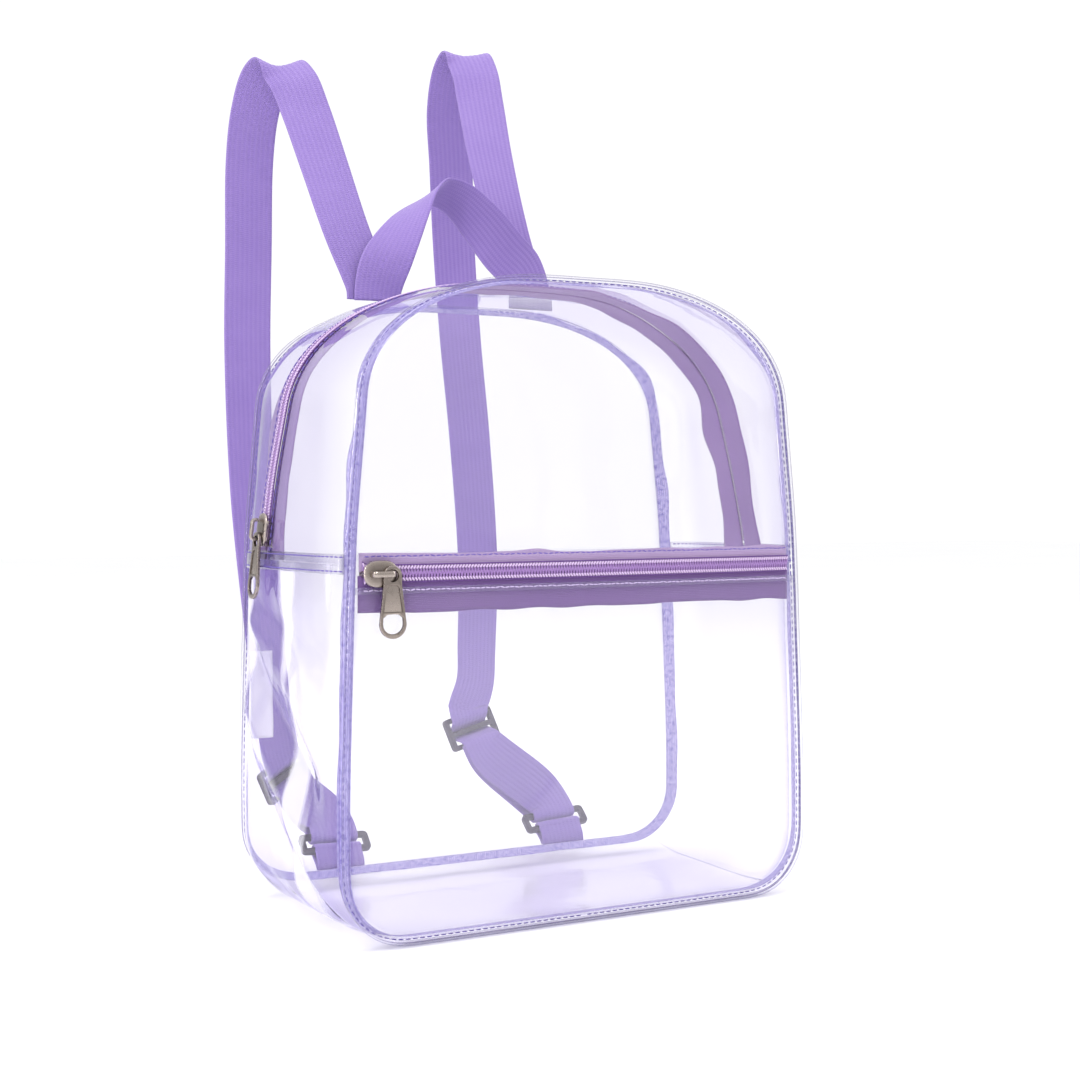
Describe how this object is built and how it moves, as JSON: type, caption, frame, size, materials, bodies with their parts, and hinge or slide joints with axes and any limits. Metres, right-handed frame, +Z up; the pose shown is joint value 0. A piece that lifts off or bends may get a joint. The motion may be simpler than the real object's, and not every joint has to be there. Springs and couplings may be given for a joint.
{
  "type": "clear stadium backpack",
  "caption": "Small arched backpack of see-through film with webbing shoulder straps, carry handle, zipped front pocket and zipped gusset.",
  "frame": {"origin": "middle of the flat base, at the level that the bag stands on", "axes": "+X to the right as seen from the front pocket, +Y towards the shoulder straps, +Z up"},
  "size_m": [0.2615, 0.224, 0.4397],
  "materials": {
    "film": "clear, colourless flexible film with a faint lilac cast",
    "binding": "translucent lavender mesh binding",
    "label": "bare white woven label",
    "pale_tape": "pale lilac woven zipper tape",
    "tape": "purple woven zipper tape",
    "coil": "lilac nylon coil",
    "metal": "antique nickel, smooth",
    "webbing": "ribbed lilac polypropylene webbing, matt",
    "plastic": "dark grey moulded plastic"
  },
  "bodies": {
    "root": {"front_upper_panel": "film", "front_pocket_panel": "film", "pocket_divider": "film", "back_panel": "film", "left_lower_gusset": "film", "bottom_gusset": "film", "right_lower_gusset": "film", "upper_gusset_front": "film", "upper_gusset_back": "film", "left_cross_band": "film", "right_cross_band": "film", "front_welt": "film", "back_welt": "film", "front_binding": "binding", "back_binding": "binding", "care_label": "label", "pocket_upper_tape": "pale_tape", "pocket_lower_tape": "tape", "pocket_zip_coil": "coil", "pocket_zip_slider": "metal", "main_front_tape": "pale_tape", "main_back_tape": "pale_tape", "main_zip_coil": "coil", "main_zip_slider": "metal", "carry_handle": "webbing", "left_strap": "webbing", "right_strap": "webbing", "left_adjuster": "plastic", "right_adjuster": "plastic", "left_ring": "plastic", "right_ring": "plastic", "left_tab": "webbing", "right_tab": "webbing"},
    "pocket_pull": {"pocket_zip_pull": "metal"},
    "main_pull": {"main_zip_pull": "metal"}
  },
  "joints": [
    {"name": "pocket_pull_swing", "type": "hinge", "parent": "root", "child": "pocket_pull", "pos_m": [-0.0992, -0.06881, 0.1606], "axis": [0, 1, 0], "range_deg": [-110, 35]},
    {"name": "main_pull_swing", "type": "hinge", "parent": "root", "child": "main_pull", "pos_m": [-0.12784, 0.022, 0.1744], "axis": [0.9955, 0.0036, -0.0943], "range_deg": [-100, 100]}
  ]
}
